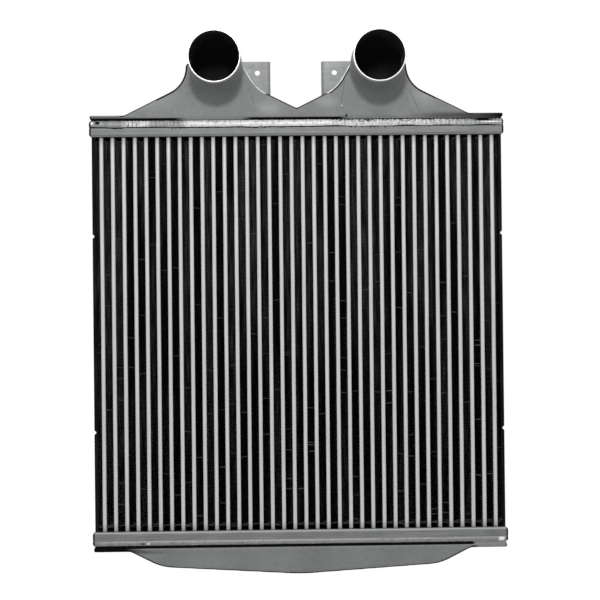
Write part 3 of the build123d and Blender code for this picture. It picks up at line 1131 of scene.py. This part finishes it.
@dataclass
class TopTank:
    """The cast tank with two necks that bend forward into turned hose spigots."""

    layout: Layout
    neck_x: float = 0.1485
    neck_back: float = 0.0093
    port: float = 0.1315
    reach: float = 0.136
    bend: float = 0.084
    neck_radius: float = 0.0483
    spigot_radius: float = 0.0475
    bore: float = 0.04525
    spigot: float = 0.060
    sunk: float = 0.004
    lip_band: float = 0.014
    lip_edges: Triple = (0.0006, 0.0004, 0.0005)
    front: Pair = (-0.0405, -0.026)
    rim: Pair = (0.034, 0.040)
    rim_inset: float = 0.0005
    valley: float = 0.0515
    slope: float = 0.497
    inner_corner: Pair = (0.074, 0.070)
    outer_corner: Pair = (0.2075, 0.054)
    shoulder_xs: Pair = (0.1025, 0.205)
    shoulder: float = 0.137
    shoulder_radius: float = 0.007
    front_draft: float = 0.002
    back_draft: float = 0.035
    draft_from: float = 0.053
    apron_half: float = 0.053
    apron_back: float = 0.0581
    apron_corner: float = 0.046

    @property
    def bend_y(self) -> float:
        """Where the neck's bend ends and its straight begins."""
        return self.neck_back - self.bend

    def level(self, height: float) -> float:
        """Level of a height above the core."""
        return self.layout.above(End.TOP, height)

    def build(self) -> None:
        """Make the casting and its two spigots, as one piece."""
        casting = Casting("top_tank", grid=0.0024, passes=6)
        casting.footing(self.layout, End.TOP, self.rim, self.rim_inset)
        for side in (-1, 1):
            self.flank(casting, side)
            self.apron(casting, side)
            self.elbow(casting, side)
        skin = casting.soften()
        bm = bmesh.new()
        bm.from_mesh(skin)
        bpy.data.meshes.remove(skin)
        for side in (-1, 1):
            self.spigot_end(bm, side)
        mesh = Workshop.mesh_of(bm, "top_tank")
        note_rim(mesh, self.outline(-1)[:0:-1] + self.outline(1)[1:], self.front)
        Workshop.publish("cast", "top_tank", mesh, [TOP_CAST, LIP, AIRWAY_SHADE], "casting")

    def outline(self, side: int) -> list[Pair]:
        """Front outline of the flanks beside one neck, from the middle outwards."""
        inner_x, inner_radius = self.inner_corner
        outer_x, outer_radius = self.outer_corner
        foot_x = 2 * self.neck_x + (self.valley - self.rim[0]) / self.slope
        corners = [
            (0.0, self.rim[0]),
            (0.0, self.valley),
            (inner_x, self.valley + inner_x * self.slope),
            (self.shoulder_xs[0], self.shoulder),
            (self.shoulder_xs[1], self.shoulder),
            (outer_x, self.valley + (2 * self.neck_x - outer_x) * self.slope),
            (foot_x, self.rim[0]),
        ]
        round_off = self.shoulder_radius
        radii = [0, 0, inner_radius, round_off, round_off, outer_radius, 0]
        return [(side * x, self.level(z)) for x, z in rounded(corners, radii, 12)]

    def flank(self, casting: Casting, side: int) -> None:
        """The sloping flanks on both sides of a neck, leaning forward behind it."""
        verts = casting.block(self.outline(side), self.layout.header_depth / 2 - self.rim_inset)
        start = self.level(self.draft_from)
        block = once(part for v in verts for part in (v, *v.link_edges, *v.link_faces))
        cut = bmesh.ops.bisect_plane(casting.bm, geom=block, plane_co=(0, 0, start), plane_no=(0, 0, 1))
        for vert in once(pick(cut["geom"], BMVert)):
            share = max(0.0, (vert.co.z - start) / (self.level(self.shoulder) - start))
            vert.co.y += share * (self.front_draft if vert.co.y < 0 else -self.back_draft)

    def apron(self, casting: Casting, side: int) -> None:
        """The half-round root of a neck, which swells from the tank's back."""
        low, high = self.level(self.rim[1] - casting.overlap), self.level(self.draft_from)
        middle, half = side * self.neck_x, self.apron_half
        outline = [(middle - half, low), (middle + half, low), (middle + half, high), (middle - half, high)]
        verts = casting.block(outline, self.layout.header_depth / 2 - 0.001)
        back = [vert for vert in verts if vert.co.y > 0]
        for vert in back:
            if vert.co.z > high - 1e-6:
                vert.co.y = self.apron_back
        upright = [
            edge
            for edge in once(e for v in back for e in v.link_edges)
            if abs(edge.verts[0].co.z - edge.verts[1].co.z) > (high - low) / 2
        ]
        bmesh.ops.bevel(
            casting.bm,
            geom=upright,
            offset=self.apron_corner,
            offset_type="OFFSET",
            affect="EDGES",
            segments=10,
            profile=0.5,
            material=-1,
        )

    def elbow(self, casting: Casting, side: int) -> None:
        """The round neck: up from the apron, forward through a bend, and a short straight."""
        bm = casting.bm
        start = self.level(self.port - self.bend)
        middle = side * self.neck_x
        pivot = Vector((middle, self.bend_y, start))
        place = Matrix.Translation((middle, self.neck_back, start))
        ring = bmesh.ops.create_circle(
            bm, segments=64, radius=self.neck_radius, cap_ends=True, matrix=place
        )["verts"]
        cap = [f for f in bm.faces if all(v in ring for v in f.verts)]
        lift = 2.0
        bmesh.ops.rotate(bm, verts=ring, cent=pivot, matrix=Matrix.Rotation(math.radians(lift), 3, "X"))
        turn = math.radians(90 - lift)
        spun = bmesh.ops.spin(bm, geom=cap, cent=pivot, axis=(1, 0, 0), angle=turn, steps=18)["geom_last"]
        front = pick(spun, BMFace)
        verts = pick(bmesh.ops.extrude_face_region(bm, geom=front)["geom"], BMVert)
        bmesh.ops.translate(bm, verts=verts, vec=(0, self.spigot - self.reach - self.bend_y, 0))
        bmesh.ops.delete(bm, geom=front, context="FACES_ONLY")

    def spigot_end(self, bm: bmesh.types.BMesh, side: int) -> None:
        """The turned straight with its lip, and the airway behind its mouth, which takes the painted shade.

        Args:
            bm: The casting's skin, which is opened behind the spigot.
            side: -1 for the left neck, 1 for the right.
        """
        centre = Vector((side * self.neck_x, 0, self.level(self.port)))
        mouth = -self.reach
        root = self.spigot - self.reach + self.sunk
        for face in [f for f in bm.faces if f.calc_center_median().y < root and f.normal.y < -0.7]:
            middle = face.calc_center_median()
            if math.hypot(middle.x - centre.x, middle.z - centre.z) < self.bore:
                bm.faces.remove(face)
        place = Matrix.Translation((centre.x, root, centre.z)) @ Matrix.Rotation(math.radians(90), 4, "X")
        ring = bmesh.ops.create_circle(bm, segments=96, radius=self.spigot_radius, matrix=place)["verts"]
        loop = [e for e in bm.edges if all(v in ring for v in e.verts)]
        outer, inner, deep = self.lip_edges
        stations = [
            (mouth + self.lip_band, 1.0, 0),
            (mouth + outer, 1.0, 1),
            (mouth, 1 - outer / self.spigot_radius, 1),
            (mouth, (self.bore + inner) / (self.spigot_radius - outer), 1),
            (mouth + deep, self.bore / (self.bore + inner), 1),
            # The bore behind the lip takes the painted shade.
            (self.bend_y, 1.0, 2),
        ]
        throat = self.course(bm, loop, centre, root, stations)
        older = set(bm.faces)
        spun = bmesh.ops.spin(
            bm,
            geom=once(v for e in throat for v in e.verts) + throat,
            cent=(centre.x, self.bend_y, self.level(self.port - self.bend)),
            axis=(1, 0, 0),
            angle=math.radians(-80),
            steps=14,
        )["geom_last"]
        bmesh.ops.contextual_create(bm, geom=pick(spun, BMEdge))
        # The airway's faces take the painted shade.
        for face in set(bm.faces) - older:
            face.material_index = 2

    @staticmethod
    def course(
        bm: bmesh.types.BMesh,
        loop: list,
        centre: Vector,
        start: float,
        stations: Sequence[tuple[float, float, int]],
    ) -> list:
        """Draw a round loop along the spigot's axis through several stations.

        Args:
            bm: The bmesh.
            loop: The loop's edges.
            centre: A point on the axis.
            start: The loop's own place on Y.
            stations: Places on Y, each with the loop's size as a share of the last one's and
                the material number of the faces that lead to it.

        Returns:
            The last loop's edges.
        """
        for place, share, finish in stations:
            loop = Workshop.extrude_loop(bm, loop, Vector((0, place - start, 0)))
            verts = once(v for e in loop for v in e.verts)
            hub = Vector((centre.x, place, centre.z))
            bmesh.ops.scale(bm, verts=verts, vec=(share, 1, share), space=Matrix.Translation(-hub))
            for face in once(f for e in loop for f in e.link_faces):
                face.material_index = finish
            start = place
        return loop


@dataclass
class ReturnTank:
    """The shallow cast tank under the core."""

    layout: Layout
    rim: Pair = (0.031, 0.037)
    rim_inset: float = 0.0005
    ramp_x: float = 0.317
    corner_x: float = 0.258
    corner_drop: float = 0.030
    corner_radius: float = 0.090
    keel_drop: float = 0.046
    draft: float = 0.005
    front: Pair = (-0.0405, -0.024)

    def build(self) -> None:
        """Make the tank."""
        casting = Casting("return_tank", grid=0.0026, passes=6)
        casting.footing(self.layout, End.BOTTOM, self.rim, self.rim_inset)
        outline = self.belly(casting, self.layout.header_depth / 2 - self.rim_inset)
        mesh = casting.soften()
        note_rim(mesh, outline, self.front)
        mesh.polygons.foreach_set("use_smooth", [True] * len(mesh.polygons))
        Workshop.publish("cast", "return_tank", mesh, [LOW_CAST], "casting")

    def belly(self, casting: Casting, half_depth: float) -> list[Pair]:
        """The tank's belly, with ramps at both ends and a slight keel.

        Args:
            casting: The casting to add it to.
            half_depth: Half of its depth at the rim.

        Returns:
            The belly's front outline.
        """
        low, high = self.rim
        steep = self.corner_drop / (self.ramp_x - self.corner_x)
        foot_x = self.ramp_x + (high - low) / steep
        corners = [
            (-foot_x, low),
            (-self.corner_x, high + self.corner_drop),
            (0.0, high + self.keel_drop),
            (self.corner_x, high + self.corner_drop),
            (foot_x, low),
        ]
        radius = self.corner_radius
        outline = rounded(corners, [0, radius, radius * 4, radius, 0], 10)
        placed = [(x, self.layout.above(End.BOTTOM, z)) for x, z in outline]
        for vert in casting.block(placed, half_depth):
            drop = self.layout.above(End.BOTTOM, high) - vert.co.z
            if drop > 0:
                vert.co.y = math.copysign(half_depth - self.draft * drop / self.keel_drop, vert.co.y)
        return placed


@dataclass
class SheetParts:
    """The CAD's own sheet parts: header pans, side plates and brackets."""

    def build(self) -> None:
        """Give each its finish."""
        for end in ("top", "bottom"):
            Workshop.dress(f"{end}_header_plate", SHEET)
        for side in ("left", "right"):
            Workshop.dress(f"{side}_side_plate", DARK_SHEET)
            Workshop.dress(f"{side}_bracket", BRACKET)


@dataclass
class Studio:
    """A plain pale floor, white surroundings, soft light and the camera."""

    floor_level: float = -1.15
    ambient: float = 0.50
    lens: float = 81.0
    eye: Triple = (-0.0446, -2.5453, -0.4452)
    yaw: float = 1.078
    pitch: float = 0.374
    roll: float = -0.613
    lamp_place: Triple = (-0.1, -3.2, 0.9)
    lamp_aim: Triple = (0.0, 0.0, -0.35)
    lamp_size: float = 0.35
    lamp_watts: float = 44
    floor_half: float = 14
    floor_shade: float = 0.6
    floor_glow: float = 1.12
    floor_fade: float = 0.86

    def build(self) -> None:
        """Set the stage."""
        self.surroundings()
        self.floor()
        self.lamp()
        self.camera()

    def surroundings(self) -> None:
        """White where it is seen or mirrored, softer where it lights."""
        world = bpy.data.worlds.new("surroundings")
        bpy.context.scene.world = world
        world.use_nodes = True
        tree = world.node_tree
        seen = add_node(tree, "LightPath", {}, "Is Camera Ray")
        rays = seen.node.outputs
        for ray in ("Is Transmission Ray", "Is Glossy Ray"):
            seen = add_node(tree, "Math", {0: seen, 1: rays[ray]}, operation="MAXIMUM")
        level = add_node(tree, "MapRange", {"To Min": self.ambient, "To Max": 1.0, "Value": seen}, "Result")
        feed(tree, tree.nodes["Background"].inputs["Strength"], level)
        feed(tree, tree.nodes["Background"].inputs["Color"], (1, 1, 1, 1))

    def floor(self) -> None:
        """A wide pale floor that takes the shadow."""
        bm = bmesh.new()
        bmesh.ops.create_grid(bm, x_segments=1, y_segments=1, size=self.floor_half)
        bmesh.ops.translate(bm, verts=bm.verts, vec=(0, 0, self.floor_level))
        mesh = bpy.data.meshes.new("floor")
        bm.to_mesh(mesh)
        bm.free()
        board = NodeBoard("pale_floor")
        board.send(base_color=(*grey(self.floor_shade), 1), roughness=0.9)
        seen = board.add("LightPath", {}, "Is Camera Ray")
        share = board.add("Math", {0: seen, 1: self.floor_fade}, operation="MULTIPLY")
        glow = board.add("Emission", {"Strength": self.floor_glow})
        blend = board.add("MixShader", {0: share, 1: board.shader.outputs[0], 2: glow})
        feed(board.tree, board.tree.nodes["Material Output"].inputs["Surface"], blend)
        mesh.materials.append(board.material)
        floor = bpy.data.objects.new("floor", mesh)
        bpy.context.scene.collection.objects.link(floor)

    def lamp(self) -> None:
        """A soft lamp that looks at the core's upper half."""
        light = bpy.data.lights.new("key", "AREA")
        light.shape = "DISK"
        light.size = self.lamp_size
        light.energy = self.lamp_watts
        lamp = bpy.data.objects.new("key", light)
        lamp.location = self.lamp_place
        aim = Vector(self.lamp_aim) - Vector(self.lamp_place)
        lamp.rotation_euler = aim.to_track_quat("-Z", "Y").to_euler()
        bpy.context.scene.collection.objects.link(lamp)

    def camera(self) -> None:
        """The photograph's viewpoint."""
        yaw, pitch, roll = (math.radians(a) for a in (self.yaw, self.pitch, self.roll))
        ahead = Vector((math.sin(yaw) * math.cos(pitch), math.cos(yaw) * math.cos(pitch), math.sin(pitch)))
        level = Vector((math.cos(yaw), -math.sin(yaw), 0))
        upright = level.cross(ahead)
        right = level * math.cos(roll) + upright * math.sin(roll)
        up = upright * math.cos(roll) - level * math.sin(roll)
        turn = Matrix((right, up, -ahead)).transposed().to_4x4()
        data = bpy.data.cameras.new("camera")
        data.lens = self.lens
        data.sensor_width = 36.0
        camera = bpy.data.objects.new("camera", data)
        camera.matrix_world = Matrix.Translation(self.eye) @ turn
        bpy.context.scene.collection.objects.link(camera)
        bpy.context.scene.camera = camera


def main() -> None:
    """Build the cooler's sub-assemblies in order."""
    logging.basicConfig(level=logging.INFO, format="%(name)s: %(message)s")
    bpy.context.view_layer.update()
    bpy.context.scene.view_settings.view_transform = "Standard"
    layout = Layout()
    assemblies: list[Callable[[], None]] = [
        TubeRow(layout).build,
        FinPack(layout).build,
        WeldBeads(layout).build,
        TopTank(layout).build,
        ReturnTank(layout).build,
        SheetParts().build,
        Studio().build,
    ]
    for assemble in assemblies:
        assemble()


if __name__ == "__main__":
    main()
